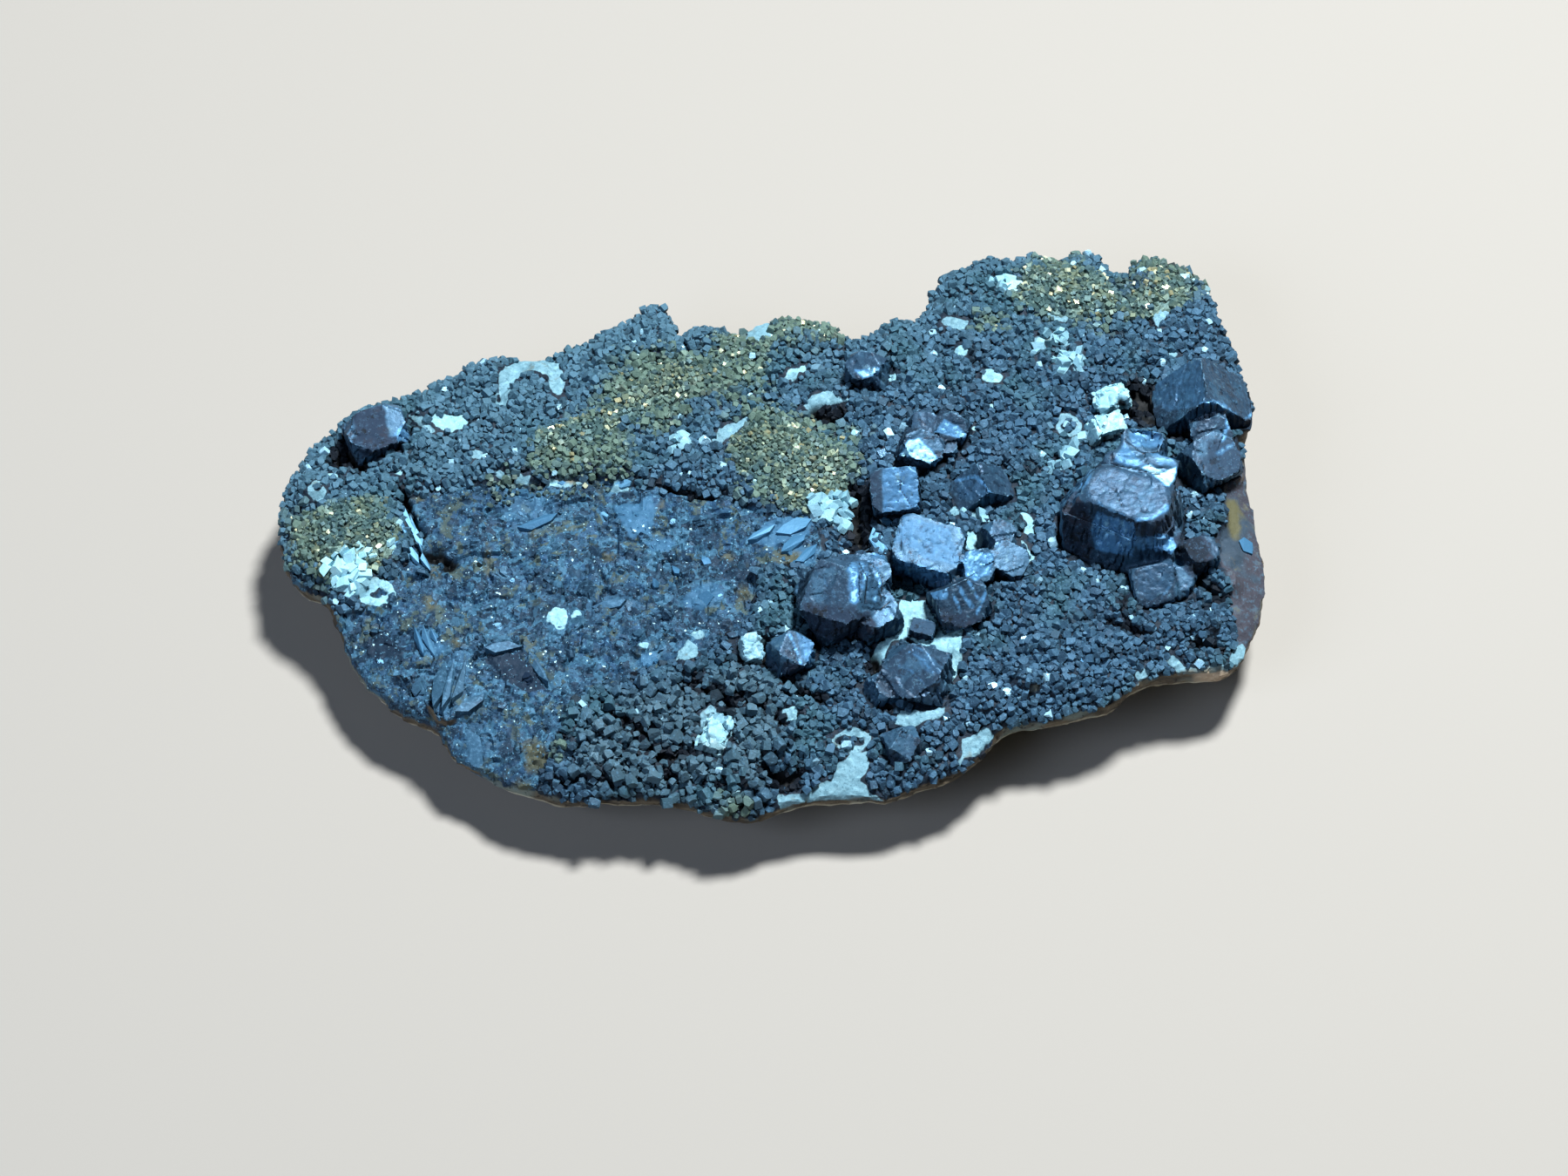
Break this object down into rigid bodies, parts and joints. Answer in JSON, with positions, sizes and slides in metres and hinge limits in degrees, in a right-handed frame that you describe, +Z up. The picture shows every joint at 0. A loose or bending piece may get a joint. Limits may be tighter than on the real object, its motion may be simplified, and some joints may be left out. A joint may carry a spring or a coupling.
{
  "type": "galena with pyrite specimen",
  "caption": "Mineral specimen: a pale dolomite plate under a dark galena druse, with larger blocky galena crystals, pyrite crusts and small pale dolomite crystals, lying on a small flat foot.",
  "frame": {"origin": "on the resting surface, under the middle of the specimen's box", "axes": "+X along the plate's length towards the end with the largest crystal, +Y towards its far side, +Z up out of the druse"},
  "size_m": [0.0914, 0.0648, 0.0165],
  "materials": {
    "druse": "dolomite rock under a rough dark druse of small galena grains",
    "galena": "lead grey galena with a dull metallic lustre and a blue tarnish",
    "pyrite": "fine grained brassy pyrite crust, olive and sparkling",
    "pale_dolomite": "rough white to mint dolomite"
  },
  "bodies": {
    "root": {"matrix_plate": "druse", "galena_cluster_right": "galena", "galena_cluster_edge": "galena", "galena_cluster_centre": "galena", "galena_crystal_centre_back": "galena", "galena_octahedron_front": "galena", "galena_crystal_back_trio": "galena", "galena_crystal_ridge": "galena", "galena_crystal_low_left": "galena", "galena_crystal_low_middle": "galena", "galena_crystal_round": "galena", "galena_crystal_tablet": "galena", "galena_crystal_notch": "galena", "galena_crystal_left_edge": "galena", "pyrite_crust_left": "pyrite", "pyrite_crust_centre": "pyrite", "pyrite_crust_band": "pyrite", "pyrite_crust_far": "pyrite", "dolomite_crystal_white": "pale_dolomite", "dolomite_crystal_holed": "pale_dolomite", "dolomite_crystal_near_rim": "pale_dolomite", "dolomite_crystal_middle": "pale_dolomite"}
  },
  "joints": []
}
